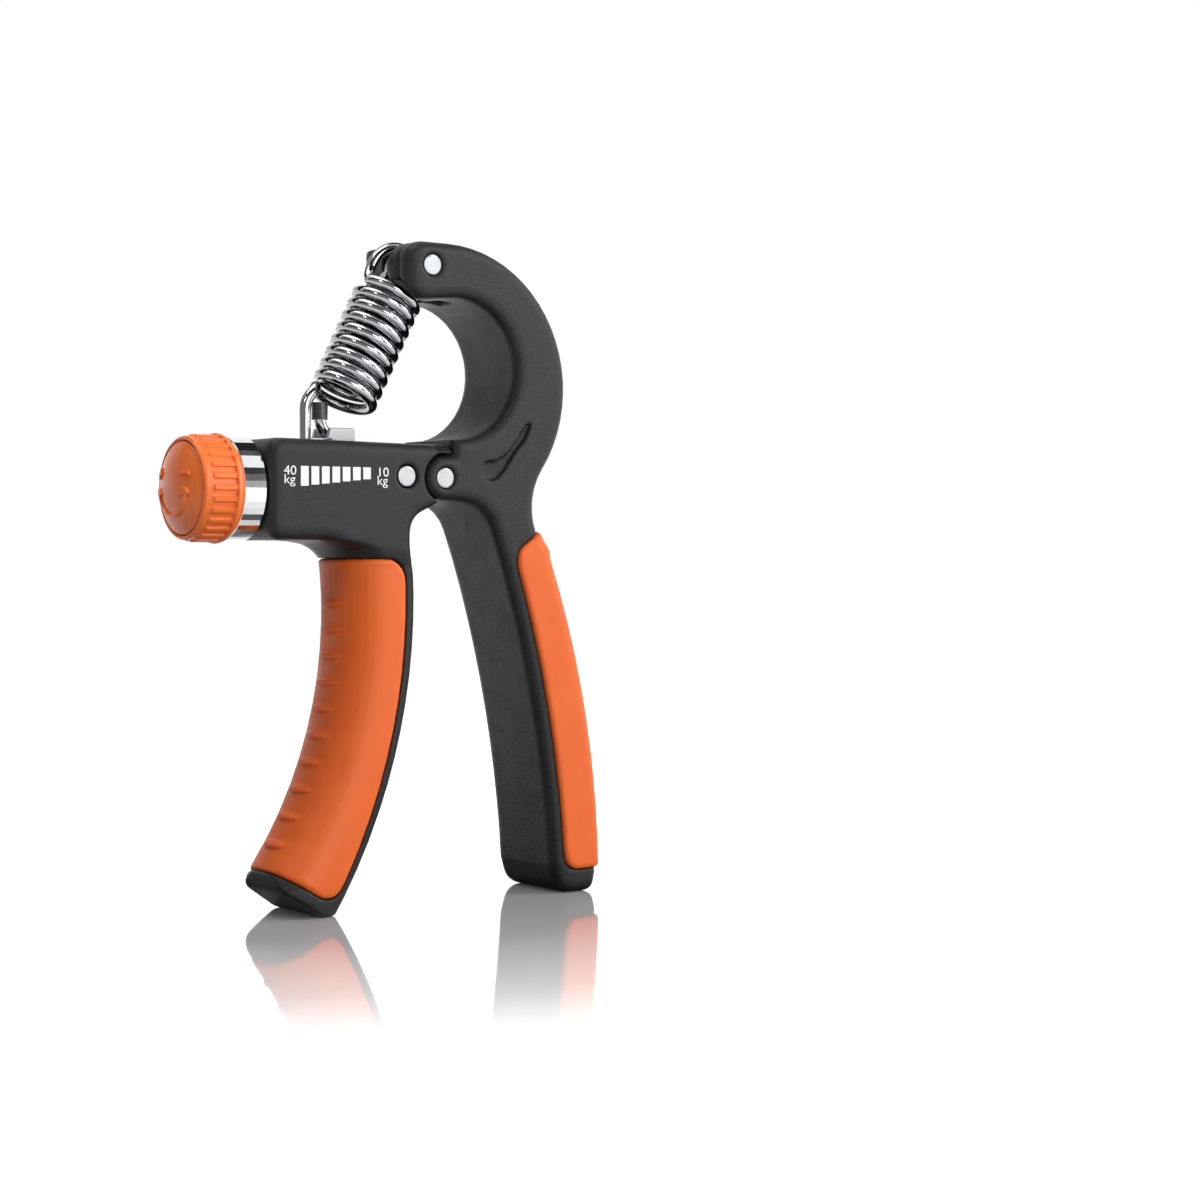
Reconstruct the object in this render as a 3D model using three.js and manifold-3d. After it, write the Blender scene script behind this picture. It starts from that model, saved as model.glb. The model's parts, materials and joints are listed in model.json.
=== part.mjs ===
// Adjustable hand grip strengthener: two hinged handles, an extension spring between an arched
// arm and a slider, and a knob whose screw shifts the slider to change the force.
// Millimetres, +Z up. X runs along the head with the knob at -X, and Y is the thickness.
// Every X and Z below is measured from the pivot pin, which both handles turn on.

import * as THREE from 'three';
import { mergeVertices } from 'three/addons/utils/BufferGeometryUtils.js';
import Module from 'manifold-3d';

const wasm = await Module();
wasm.setup();

// Clearances
const slip = 0.1; // shaft in its bore, on the radius
const seat = 0.3; // between bodies that rest on each other

// Stance and thickness
const pivotHeight = 87.8; // pivot pin above the floor
const halfDepth = 11; // half the thickness of the head and of the arched arm
const edgeRound = 2.2; // rounding along the edges of the mouldings

// Pins
const pinRadius = 2.1; // pivot pin, arm pin and block rivet
const pinRecess = 0.35; // pin ends below the side faces
const rivet = { x: -9.25, z: 0.2 };

// Head of the front frame
const head = { left: -40.4, right: -0.5, top: 7.4, topRight: 6.8, bottom: -12.8, round: 2.6 };
const cavity = { left: -37.8, right: -6.4, floor: -8.4, halfWidth: 5.8 };
const lug = { reach: 1.9, bottom: 5.0, top: 6.9, half: 10.3, slope: 1.9 }; // rest stop by the pivot
const throat = { top: -4.9, x: -7.75, high: -8.3, low: -16, round: 4.5 }; // between the handles
const tongueHalf = 6.6; // half the width of the tongue between the ears
const earRadius = 4.7;
const earClear = 0.4; // ear to the recess round it

// Front handle: edges as arcs, given by their point farthest to +X and their radius
const frontEdge = { x: -20.8, z: -27.1, r: 87.3 };
const frontSpine = { x: -5.85, z: -24.5, r: 118.1 };
const frontHalf = 10.2; // half thickness of the gripped part
const frontFoot = {
  heelInset: 1, heelHeight: 5.6, heelRise: 3.5, round: 3.6,
  flat: 4.6, toeInset: 3.05, toeRise: 5, toeRound: 2.7,
};
const frontGripTop = -16.7;
const frontGripEnd = { left: 9.8, right: 2.5 }; // heights above the floor at the slanted end
const saddle = { low: -17.9, high: -12.7, reach: 6, left: -27, round: 7 }; // handle into head
const spineStrip = 3.5; // black strip left beside the overmould
const gripWall = 2.2; // thickness of the overmould

// Finger ribs
const ribCount = 10;
const ribFirst = -25.6;
const ribPitch = 5.35;
const rib = { length: 9.6, height: 0.8, width: 1.9 };

// Arched arm and rear handle
const windowArc = { x: 3.3, z: 22.5, r: 14.5 };
const outerCurve = { x: 1.4, r: 29 };
const waistCurve = { x: 35.8, r: 13.5, sweep: 0.74 };
const rearInner = { x: 27.4, z: -97, r: 254.8 };
const rearOuter = { x: 38.6, z: -86.2, r: 197.7 };
const rearFoot = {
  heelInset: 1.85, heelRise: 6, toeInset: 0.9, toeRise: 4, round: 4.2, toeRound: 2.4,
};
const rearShoulder = 9; // round between the ears' underside and the inner face
const armEdge = 2.2; // left edge of the arm above the ears
const fork = { slotHalf: 2.6, slotEnd: 3.2, round: 4.2, endRound: 3.4 };
const forkReach = { left: 6.2, above: 4.8, below: 7.6 }; // from the arm pin's centre
const farCheek = { left: 3.9, round: 2.4 }; // the cheek behind, from the arm pin's centre
const forkPocket = { end: 7, drop: 3.3 }; // drop below the arm pin's centre
const rearPadStrip = 3.1; // black strip left beside the pad
const rearPad = { top: -11.2, bottom: 5.3, wall: 2.4, proud: 0.4 };

// Adjusting screw, its axis and what it carries
const screwHeight = -2.6;
const screwRadius = 2.5;
const journal = { radius: 1.5, length: 1.9 };
const bush = { radius: 3.6, flange: 4.6, flangeDepth: 0.8 };
const clip = { radius: 4.2, depth: 0.8 };
const block = { left: -14.2, step: -11.8, bossRadius: 2.8, top: 3.5, bottom: -8 };

// Knob and collar
const collar = { left: -46, radius: 10.3, seatRadius: 8.2, seatDepth: 1.1 };
const knob = { rim: -54.3, flangeRadius: 10.9, flangeDepth: 1.1, radius: 10.15, wall: 0.9 };
const knobRib = { count: 28, height: 0.4, width: 1, left: -52.3 };
const knobFloor = 2.5; // thickness of the knob's back wall
const dome = { rise: 2.7, wall: 1.5, skirt: 1.6 };
const nut = { radius: 4.6, depth: 2.2 };

// Slider
const slider = { left: -28.6, right: -20.8, halfWidth: 5.3, bottom: -7.6 };
const cheek = { left: -27.4, right: -17.2, inner: 2.3, outer: 3.5, overhang: 4.6, top: 9.9 };
const hookPin = { x: -23.4, z: 5.8, radius: 1.7 };

// Spring between the slider's pin and the arm pin
const wire = 2.2;
const coil = { radius: 6.15, pitch: 2.78, turns: 9, start: 11 };
const curlSteps = 8;
const wireSides = 5;
const lowerEye = 3.4; // radius of the lower hook on the wire's centre line
const upperBend = 2; // last bend of the upper hook
const chordLift = 2.5; // chord of the upper hook above the last curl
const chordGap = 0.96; // chord to the arm pin
const pinAside = 1.07; // arm pin's centre beside the spring's axis
const springLean = 27.11; // degrees from upright
const sleeve = { radius: 1.65, bottom: 11.6, length: 2.8, cap: 0.6 };
const damper = { radius: 3.8, start: 7, length: 12 }; // plug in the curls, from the first one
const hookWasher = { radius: 3.6, inner: 1.45, outer: 2.35 };

// Arm pin, where the spring at rest reaches, and what is placed round it
const springSpan = coil.start + coil.turns * coil.pitch + chordLift + wire / 2 + chordGap + pinRadius;
const lean = (springLean * Math.PI) / 180;
const arcPin = {
  x: hookPin.x + springSpan * Math.sin(lean) + pinAside * Math.cos(lean),
  z: hookPin.z + springSpan * Math.cos(lean) - pinAside * Math.sin(lean),
};
const forkLeft = arcPin.x - forkReach.left;
const forkTop = arcPin.z + forkReach.above;
const forkBottom = arcPin.z - forkReach.below;
const outerArc = { ...outerCurve, z: forkTop - outerCurve.r };
const waistDrop = Math.sqrt((outerArc.r + waistCurve.r) ** 2 - (waistCurve.x - outerArc.x) ** 2);
const waist = { ...waistCurve, z: outerArc.z - waistDrop };

// Surfaces
const black = { color: 0x2f3032, roughness: 0.55, metalness: 0 };
const orangeRubber = { color: 0xe8642a, roughness: 0.6, metalness: 0 };
const orangePlastic = { color: 0xe0602a, roughness: 0.45, metalness: 0 };
const chrome = { color: 0xe6e8ea, roughness: 0.08, metalness: 1 };
const steel = { color: 0xc9cbcd, roughness: 0.3, metalness: 1 };
const zinc = { color: 0xb9bbbd, roughness: 0.4, metalness: 1 };
const brass = { color: 0xb9975a, roughness: 0.35, metalness: 1 };
const nylon = { color: 0xe7e4da, roughness: 0.6, metalness: 0 };
const blackened = { color: 0x26272a, roughness: 0.4, metalness: 0.6 };

// ---- Solids: from geometry, and back ----

function solid(geometry) {
  const bare = geometry.clone();
  bare.deleteAttribute('normal');
  bare.deleteAttribute('uv');
  const merged = mergeVertices(bare.index ? bare.toNonIndexed() : bare, 1e-4);
  const vertProperties = new Float32Array(merged.attributes.position.array);
  const triVerts = new Uint32Array(wholeTriangles(merged.index.array));
  return new wasm.Manifold(new wasm.Mesh({ numProp: 3, vertProperties, triVerts }));
}

// Triangles whose corners are still three different points.
function wholeTriangles(index) {
  const kept = [];
  for (let i = 0; i < index.length; i += 3) {
    const [a, b, c] = index.slice(i, i + 3);
    if (a !== b && b !== c && c !== a) kept.push(a, b, c);
  }
  return kept;
}

function geometryOf(manifold) {
  const mesh = manifold.getMesh();
  const geometry = new THREE.BufferGeometry();
  geometry.setAttribute('position', new THREE.BufferAttribute(mesh.vertProperties, 3));
  geometry.setIndex(new THREE.BufferAttribute(mesh.triVerts, 1));
  geometry.computeVertexNormals();
  return geometry;
}

function named(name, geometry, surface) {
  const mesh = new THREE.Mesh(geometry, new THREE.MeshStandardMaterial(surface));
  mesh.name = name;
  return mesh;
}

// ---- Shapes shared by several pieces ----

// Extrusion of an outline in X and Z, from yMin to yMax, with its edges rounded by `round`.
function prism(outline, yMin, yMax, round = 0) {
  const geometry = new THREE.ExtrudeGeometry(outline, {
    depth: yMax - yMin - 2 * round,
    bevelEnabled: round > 0,
    bevelThickness: round,
    bevelSize: round,
    bevelOffset: -round,
    bevelSegments: 3,
    curveSegments: 12,
  });
  geometry.rotateX(Math.PI / 2);
  geometry.translate(0, yMax - round, 0);
  return solid(geometry);
}

function bothSides(outline, inner, outer) {
  return prism(outline, -outer, -inner).add(prism(outline, inner, outer));
}

function boxSolid(xMin, xMax, yMin, yMax, zMin, zMax) {
  const geometry = new THREE.BoxGeometry(xMax - xMin, yMax - yMin, zMax - zMin);
  geometry.translate((xMin + xMax) / 2, (yMin + yMax) / 2, (zMin + zMax) / 2);
  return solid(geometry);
}

function disc(x, z, radius) {
  const outline = new THREE.Shape();
  outline.absarc(x, z, radius, 0, 2 * Math.PI);
  return outline;
}

// Pin or bore along Y.
function yCylinder(at, radius, yMin, yMax) {
  const geometry = new THREE.CylinderGeometry(radius, radius, yMax - yMin, 24);
  geometry.translate(at.x, (yMin + yMax) / 2, at.z);
  return solid(geometry);
}

// Turned piece along X: the profile lists [x, radius] and starts and ends on the axis or closes.
function turned(profile, segments = 48) {
  const points = profile.map(([x, radius]) => new THREE.Vector2(radius, x));
  const geometry = new THREE.LatheGeometry(points, segments);
  geometry.rotateZ(-Math.PI / 2);
  geometry.translate(0, 0, screwHeight);
  return geometry;
}

function turnedSolid(profile, segments) {
  const shape = solid(turned(profile, segments));
  return shape.volume() < 0 ? solid(flipped(turned(profile, segments))) : shape;
}

function flipped(geometry) {
  const index = geometry.index;
  for (let i = 0; i < index.count; i += 3) {
    const first = index.getX(i);
    index.setX(i, index.getX(i + 2));
    index.setX(i + 2, first);
  }
  return geometry;
}

// Ring along X between two radii.
function ringProfile(xMin, xMax, inner, outer) {
  return [[xMin, inner], [xMin, outer], [xMax, outer], [xMax, inner], [xMin, inner]];
}

// X of an arc edge at height z.
function edgeAt(edge, z) {
  return edge.x - edge.r + Math.sqrt(edge.r ** 2 - (z - edge.z) ** 2);
}

// Points along an arc edge from one height to another.
function edgePoints(edge, from, to, count = 10) {
  const points = [];
  for (let i = 0; i <= count; i++) {
    const z = from + ((to - from) * i) / count;
    points.push(new THREE.Vector2(edgeAt(edge, z), z));
  }
  return points;
}

// Points round a circle from one angle to another.
function arcPoints(circle, from, to, count) {
  const points = [];
  for (let i = 0; i <= count; i++) {
    const angle = from + ((to - from) * i) / count;
    points.push(new THREE.Vector2(
      circle.x + circle.r * Math.cos(angle),
      circle.z + circle.r * Math.sin(angle),
    ));
  }
  return points;
}

// Replaces the corner at `corner`, between two neighbours, by a round of the given radius.
function roundCorner(before, corner, after, radius, count = 5) {
  const a = before.clone().sub(corner).normalize();
  const b = after.clone().sub(corner).normalize();
  const half = Math.acos(THREE.MathUtils.clamp(a.dot(b), -1, 1)) / 2;
  const middle = a.clone().add(b).normalize();
  const centre = corner.clone().addScaledVector(middle, radius / Math.sin(half));
  const start = corner.clone().addScaledVector(a, radius / Math.tan(half)).sub(centre);
  const end = corner.clone().addScaledVector(b, radius / Math.tan(half)).sub(centre);
  const turn = Math.atan2(start.cross(end), start.dot(end));
  const points = [];
  for (let i = 0; i <= count; i++) {
    const point = start.clone().rotateAround(new THREE.Vector2(), (turn * i) / count);
    points.push(point.add(centre));
  }
  return points;
}

// Outline from a list of points and of { at, round } corners.
function outlineOf(items) {
  const place = (item) => item.at ?? item;
  const points = items.flatMap((item, i) => {
    if (!item.at) return [item];
    const before = place(items[(i + items.length - 1) % items.length]);
    const after = place(items[(i + 1) % items.length]);
    return roundCorner(before, item.at, after, item.round);
  });
  return new THREE.Shape(points);
}

function corner(x, z, round) {
  return { at: new THREE.Vector2(x, z), round };
}

// ---- Front frame: head, tongue and handle core in one moulding ----

const floor = -pivotHeight;

function frontOutline() {
  const handleTop = saddle.low - 3;
  const heelEdge = floor + frontFoot.heelHeight + frontFoot.heelRise;
  const toeEdge = floor + frontFoot.toeRise;
  const toe = edgeAt(frontSpine, toeEdge) - frontFoot.toeInset;
  const heel = edgeAt(frontEdge, heelEdge) + frontFoot.heelInset;
  return outlineOf([
    corner(head.left, head.top, head.round),
    corner(head.right, head.topRight, head.round),
    new THREE.Vector2(head.right, throat.top),
    corner(throat.x, throat.high, throat.round),
    corner(throat.x - 0.2, throat.low, 20),
    ...edgePoints(frontSpine, handleTop - 1, toeEdge),
    corner(toe, floor, frontFoot.toeRound),
    corner(toe - frontFoot.flat, floor, frontFoot.round),
    corner(heel, floor + frontFoot.heelHeight, frontFoot.round),
    ...edgePoints(frontEdge, heelEdge, handleTop),
    corner(edgeAt(frontEdge, saddle.high) - 0.2, head.bottom, saddle.round),
    corner(head.left, head.bottom, head.round),
  ]);
}

// Where the front handle is deepest, between its two edges.
function handleMiddle(z) {
  return edgeAt(frontEdge, z) * 0.45 + edgeAt(frontSpine, z) * 0.55;
}

// Cross-section of the front handle at height z: round towards the fingers, square at the spine,
// and widening into a rectangle as it comes up to the head.
function handleRing(z, shrink) {
  const rise = THREE.MathUtils.clamp((z - saddle.low) / (saddle.high - saddle.low), 0, 1);
  const widen = 1 - Math.sqrt(1 - rise ** 2);
  const left = edgeAt(frontEdge, z) + shrink - saddle.reach * widen;
  const right = edgeAt(frontSpine, z) - shrink + 3 * rise;
  const depth = frontHalf - shrink + (halfDepth + 0.6 - frontHalf) * rise;
  const middle = handleMiddle(z);
  const bluntness = THREE.MathUtils.lerp(1, 0.3, widen);
  const count = 32;
  const ring = [];
  for (let i = 0; i < count; i++) {
    const cos = Math.cos((2 * Math.PI * i) / count);
    const sin = Math.sin((2 * Math.PI * i) / count);
    const across = Math.sign(cos) * Math.abs(cos) ** (cos > 0 ? 0.35 : bluntness);
    const along = Math.sign(sin) * Math.abs(sin) ** (cos > 0 ? 0.4 : 0.9 * bluntness);
    const reach = across > 0 ? right - middle : middle - left;
    ring.push(new THREE.Vector3(middle + reach * across, depth * along, z));
  }
  return ring;
}

// Closed skin through rings of equal count, capped at both ends.
function loft(rings) {
  const count = rings[0].length;
  const position = rings.flat().flatMap((point) => point.toArray());
  const centre = (ring) => ring.reduce((sum, point) => sum.add(point), new THREE.Vector3());
  const last = rings.length - 1;
  position.push(...centre(rings[0]).divideScalar(count).toArray());
  position.push(...centre(rings[last]).divideScalar(count).toArray());
  const foot = rings.length * count;
  const index = [];
  for (let i = 0; i < count; i++) {
    const next = (i + 1) % count;
    for (let k = 0; k < last; k++) {
      const a = k * count + i;
      const b = k * count + next;
      index.push(a, b, b + count, a, b + count, a + count);
    }
    index.push(foot, next, i, foot + 1, last * count + i, last * count + next);
  }
  const geometry = new THREE.BufferGeometry();
  geometry.setAttribute('position', new THREE.Float32BufferAttribute(position, 3));
  geometry.setIndex(index);
  return geometry;
}

// The front handle up to the head, `shrink` inside its skin.
function handleSolid(shrink = 0) {
  const rings = [];
  for (let z = floor - 2; z < saddle.low; z += 5.5) rings.push(handleRing(z, shrink));
  const steps = 7;
  for (let i = 0; i <= steps; i++) {
    rings.push(handleRing(saddle.low + ((saddle.high - saddle.low) * i) / steps, shrink));
  }
  rings.push(handleRing(saddle.high + 1, shrink));
  return solid(loft(rings));
}

// Section of the rest stop: a bar with sloping ends.
function lugSection() {
  const lip = lug.bottom + 0.3;
  return [[-lug.half, lug.bottom], [lug.half, lug.bottom], [lug.half, lip],
    [lug.half - lug.slope, lug.top], [lug.slope - lug.half, lug.top], [-lug.half, lip]];
}

// Block along X with a section given as [y, z] points.
function alongX(section, xMin, xMax) {
  const shape = new THREE.Shape(section.map(([y, z]) => new THREE.Vector2(y, z)));
  const geometry = new THREE.ExtrudeGeometry(shape, { depth: xMax - xMin, bevelEnabled: false });
  geometry.applyMatrix4(new THREE.Matrix4().makeBasis(
    new THREE.Vector3(0, 1, 0), new THREE.Vector3(0, 0, 1), new THREE.Vector3(1, 0, 0),
  ));
  geometry.translate(xMin, 0, 0);
  return solid(geometry);
}

// Region of the front handle that the overmould covers, grown by `grow`.
function frontGripOutline(grow = 0) {
  const edge = { ...frontSpine, x: frontSpine.x - spineStrip + grow };
  const top = frontGripTop + grow;
  const low = floor + frontGripEnd.right - grow;
  const high = floor + frontGripEnd.left - grow;
  return outlineOf([
    new THREE.Vector2(-60, top),
    corner(edgeAt(edge, top), top, 4.4),
    ...edgePoints(edge, top - 5, low + 5),
    corner(edgeAt(edge, low), low, 3.6),
    new THREE.Vector2(edgeAt(frontEdge, high) - 0.5, high),
    new THREE.Vector2(-60, high + 1),
  ]);
}

// Cavity for the screw and slider, open through the top of the head.
function headCavity() {
  const half = cavity.halfWidth;
  return boxSolid(cavity.left, cavity.right, -half, half, cavity.floor, head.top + 5);
}

// Space under the head that only the handle fills, reaching `more` up into the head.
function underHead(more) {
  return boxSolid(-70, 5, -20, 20, floor - 1, head.bottom - 1)
    .add(boxSolid(saddle.left - more, 5, -20, 20, floor - 1, saddle.high + more));
}

function frontFrame() {
  const body = prism(frontOutline(), -halfDepth, halfDepth, edgeRound);
  const handle = body.intersect(underHead(0.6)).intersect(handleSolid());
  const recess = bothSides(disc(0, 0, earRadius + earClear), tongueHalf, halfDepth + 1);
  const tongue = prism(disc(0, 0, earRadius), -tongueHalf, tongueHalf);
  const stop = alongX(lugSection(), head.right - 2, lug.reach)
    .add(boxSolid(head.right - 2, lug.reach, -tongueHalf, tongueHalf, 0, lug.top));
  const shell = prism(frontGripOutline(seat), -20, 20);
  const core = handleSolid(gripWall).intersect(body);
  const bushBore = turnedSolid([[head.left - 1, 0], [head.left - 1, bush.radius + slip],
    [cavity.left + 1, bush.radius + slip], [cavity.left + 1, 0]], 32);
  return body.subtract(underHead(0)).add(handle).subtract(shell).add(core)
    .subtract(recess).add(tongue).add(stop)
    .subtract(headCavity()).subtract(bushBore)
    .subtract(yCylinder({ x: 0, z: 0 }, pivotBush.radius + slip, -20, 20))
    .subtract(yCylinder(rivet, pinRadius + seat, -20, 20));
}

// Ridge across the finger side at the k-th place: a spindle laid along the handle's skin.
function fingerRib(k) {
  const z = ribFirst - k * ribPitch;
  const middle = handleMiddle(z);
  const reach = middle - edgeAt(frontEdge, z);
  const steps = 4;
  const rings = [];
  for (let i = -steps; i <= steps; i++) {
    const y = (rib.length * i) / steps / 2;
    const sin = Math.sign(y) * (Math.abs(y) / frontHalf) ** (1 / 0.9);
    const cos = Math.sqrt(1 - sin ** 2);
    const centre = new THREE.Vector3(middle - reach * cos, y, z);
    const out = new THREE.Vector3(-cos / reach, sin / frontHalf, 0).normalize();
    const share = 1 - 0.94 * (i / steps) ** 2;
    rings.push(Array.from({ length: 8 }, (_, n) => {
      const angle = (2 * Math.PI * n) / 8;
      return centre.clone()
        .addScaledVector(out, rib.height * share * Math.cos(angle))
        .add(new THREE.Vector3(0, 0, (rib.width / 2) * share * Math.sin(angle)));
    }));
  }
  return solid(loft(rings));
}

function frontGrip() {
  const body = prism(frontOutline(), -halfDepth, halfDepth, edgeRound);
  let grip = handleSolid().intersect(body);
  for (let k = 0; k < ribCount; k++) grip = grip.add(fingerRib(k));
  return grip.intersect(prism(frontGripOutline(), -20, 20))
    .subtract(handleSolid(gripWall - seat));
}

// ---- Arched arm and rear handle ----

function rearOutline(grow = 0) {
  const handleTop = waist.z - waist.r * Math.sin(waist.sweep) - 2;
  const gap = Math.asin((windowArc.x - armEdge) / windowArc.r);
  const waistTop = Math.atan2(waist.z - outerArc.z, waist.x - outerArc.x);
  const toe = edgeAt(rearOuter, floor + rearFoot.toeRise) - rearFoot.toeInset;
  const heel = edgeAt(rearInner, floor + rearFoot.heelRise) + rearFoot.heelInset;
  return outlineOf([
    ...arcPoints({ x: 0, z: 0, r: earRadius }, 1.5 * Math.PI, 0.5 * Math.PI, 12),
    new THREE.Vector2(armEdge, earRadius),
    ...arcPoints(windowArc, -Math.PI / 2 - gap, Math.PI / 2, 22),
    corner(forkLeft + 0.6, forkBottom, fork.round),
    corner(forkLeft, forkTop, fork.round),
    ...arcPoints({ ...outerArc, r: outerArc.r + grow }, Math.PI / 2, waistTop, 22),
    ...arcPoints({ ...waist, r: waist.r - grow }, Math.PI + waistTop, Math.PI + waist.sweep, 8),
    ...edgePoints({ ...rearOuter, x: rearOuter.x + grow }, handleTop, floor + rearFoot.toeRise),
    corner(toe + grow, floor, rearFoot.toeRound),
    corner(heel, floor, rearFoot.round),
    ...edgePoints(rearInner, floor + rearFoot.heelRise, handleTop),
    corner(edgeAt(rearInner, -earRadius), -earRadius, rearShoulder),
  ]);
}

// Region of the rear handle that the pad covers, grown by `grow`.
function rearPadOutline(grow = 0) {
  const edge = { ...rearInner, x: rearInner.x + rearPadStrip - grow };
  const low = floor + rearPad.bottom - grow;
  const shoulder = rearPad.top - 4;
  return outlineOf([
    new THREE.Vector2(60, low + 0.4),
    corner(edgeAt(edge, low) + 0.3, low, 3),
    ...edgePoints(edge, low + 4, shoulder - 3),
    corner(edgeAt(edge, shoulder) + 1, shoulder + grow, 3),
    new THREE.Vector2(60, rearPad.top + 26 + grow),
  ]);
}

// Axis of the spring, from the slider's pin up to the arm.
const springAxis = new THREE.Vector3(Math.sin(lean), 0, Math.cos(lean));
const springSide = new THREE.Vector3(-springAxis.z, 0, springAxis.x);
const coilEnd = coil.start + coil.turns * coil.pitch;

// Cylinder on the spring's axis.
function alongSpring(radius, from, to) {
  const geometry = new THREE.CylinderGeometry(radius, radius, to - from, 32);
  const middle = (from + to) / 2;
  geometry.rotateZ(Math.PI / 2);
  geometry.applyMatrix4(new THREE.Matrix4().makeBasis(
    springAxis, new THREE.Vector3(0, 1, 0), springSide,
  ));
  geometry.translate(
    hookPin.x + springAxis.x * middle, 0, hookPin.z + springAxis.z * middle,
  );
  return solid(geometry);
}

// Relief in the fork that the spring's last curls nest in.
function coilRelief() {
  const top = coilEnd + 1.6;
  return alongSpring(coil.radius + wire, top - 14, top);
}

// Vertical posts that round the fork's end, seen from above.
function forkPlan() {
  const reach = 60;
  const farLeft = arcPin.x - farCheek.left;
  const outline = outlineOf([
    corner(farLeft, halfDepth, farCheek.round),
    new THREE.Vector2(farLeft, 0),
    new THREE.Vector2(forkLeft, 0),
    corner(forkLeft, -halfDepth, fork.endRound),
    new THREE.Vector2(reach, -halfDepth),
    new THREE.Vector2(reach, halfDepth),
  ]);
  const geometry = new THREE.ExtrudeGeometry(outline, { depth: 30, bevelEnabled: false });
  geometry.translate(0, 0, forkBottom - 5);
  const low = boxSolid(-20, reach, -halfDepth, halfDepth, floor - 1, forkBottom - 4);
  return solid(geometry).add(low);
}

function rearFrame() {
  const body = prism(rearOutline(), -halfDepth, halfDepth, edgeRound).intersect(forkPlan());
  const tongueSlot = yCylinder({ x: 0, z: 0 }, earRadius + earClear,
    -tongueHalf - washer.room, tongueHalf + washer.room);
  const hookSlot = boxSolid(forkLeft - 1, fork.slotEnd, -fork.slotHalf, fork.slotHalf,
    forkBottom - 3, forkTop + 1);
  const pocket = boxSolid(fork.slotEnd - 1, forkPocket.end, -fork.slotHalf, fork.slotHalf,
    forkBottom - 3, arcPin.z - forkPocket.drop);
  const wall = rearPad.wall;
  const padBed = prism(rearPadOutline(seat), -20, 20)
    .subtract(prism(padCoreOutline(wall), -halfDepth + wall, halfDepth - wall));
  return body.subtract(padBed).subtract(tongueSlot).subtract(hookSlot).subtract(pocket)
    .subtract(coilRelief())
    .subtract(yCylinder({ x: 0, z: 0 }, pinRadius + slip, -20, 20))
    .subtract(yCylinder(arcPin, pinRadius + slip, -20, 20));
}

// Everything of the rear handle that lies `wall` or more inside its outer edge.
function padCoreOutline(wall) {
  const edge = { ...rearOuter, x: rearOuter.x - wall };
  return outlineOf([
    new THREE.Vector2(-10, floor - 2),
    new THREE.Vector2(edgeAt(edge, floor), floor - 2),
    ...edgePoints(edge, floor, -8, 12),
    new THREE.Vector2(-10, -8),
  ]);
}

function rearGrip() {
  const proud = rearPad.proud;
  const skin = prism(rearOutline(proud), -halfDepth - proud, halfDepth + proud, edgeRound);
  const core = prism(padCoreOutline(rearPad.wall - seat),
    -halfDepth + rearPad.wall - seat, halfDepth - rearPad.wall + seat);
  return skin.intersect(prism(rearPadOutline(), -20, 20)).subtract(core);
}

// ---- Pins, bushes and washers across the thickness ----

const pivotBush = { radius: 2.95, half: tongueHalf - 0.1 };
const washer = { radius: 4.2, depth: 0.4, room: 0.7 };

function ringAlongY(at, inner, outer, yMin, yMax) {
  return yCylinder(at, outer, yMin, yMax).subtract(yCylinder(at, inner, yMin - 1, yMax + 1));
}

function crossPin(at) {
  const half = halfDepth - pinRecess;
  return yCylinder(at, pinRadius, -half, half);
}

function pivotWasher(side) {
  const near = tongueHalf + (washer.room - washer.depth) / 2;
  const yMin = side > 0 ? near : -near - washer.depth;
  const bore = pinRadius + slip;
  return ringAlongY({ x: 0, z: 0 }, bore, washer.radius, yMin, yMin + washer.depth);
}

function springWasher(side) {
  const yMin = side > 0 ? hookWasher.inner : -hookWasher.outer;
  const depth = hookWasher.outer - hookWasher.inner;
  return ringAlongY(arcPin, pinRadius + slip, hookWasher.radius, yMin, yMin + depth);
}

// ---- Screw, its bearings, the collar and the knob ----

const knobBack = collar.left - seat;
const screwEnd = block.left + seat + journal.length;

function adjustingScrew() {
  const thread = block.left - seat;
  return turned([
    [knob.rim + 3, 0], [knob.rim + 3, screwRadius - 0.4], [knob.rim + 3.4, screwRadius],
    [thread, screwRadius], [thread, journal.radius],
    [screwEnd, journal.radius], [screwEnd, 0],
  ], 32);
}

function screwBush() {
  const bore = screwRadius + slip;
  const face = head.left - bush.flangeDepth;
  return turned([
    [face, bore], [face, bush.flange], [head.left - slip, bush.flange],
    [head.left - slip, bush.radius], [cavity.left, bush.radius], [cavity.left, bore],
    [face, bore],
  ], 32);
}

function retainingClip() {
  const left = cavity.left + seat;
  return turned(ringProfile(left, left + clip.depth, screwRadius + slip, clip.radius), 32);
}

function bearingBlock() {
  const half = cavity.halfWidth - seat;
  const low = Math.max(block.bottom, cavity.floor + seat);
  const body = boxSolid(block.step, cavity.right - seat, -half, half, low, block.top);
  const boss = turnedSolid([
    [block.left, 0], [block.left, block.bossRadius],
    [block.step + 0.5, block.bossRadius], [block.step + 0.5, 0],
  ], 32);
  const bore = turnedSolid([
    [block.left - 1, 0], [block.left - 1, journal.radius + slip],
    [screwEnd + seat, journal.radius + slip], [screwEnd + seat, 0],
  ], 32);
  return body.add(boss).subtract(bore).subtract(yCylinder(rivet, pinRadius + slip, -20, 20));
}

function collarRing() {
  const right = head.left - seat;
  const bore = bush.flange + seat;
  const step = collar.left + collar.seatDepth;
  return turned([
    [step, bore], [step, collar.seatRadius], [collar.left, collar.seatRadius],
    [collar.left, collar.radius - 0.4], [collar.left + 0.4, collar.radius],
    [right - 0.4, collar.radius], [right, collar.radius - 0.4], [right, bore], [step, bore],
  ]);
}

function thrustWasher() {
  const right = collar.left + collar.seatDepth - slip;
  const left = collar.left + slip;
  const bore = screwRadius + slip;
  return turned(ringProfile(left, right, bore, collar.seatRadius - slip), 32);
}

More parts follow.
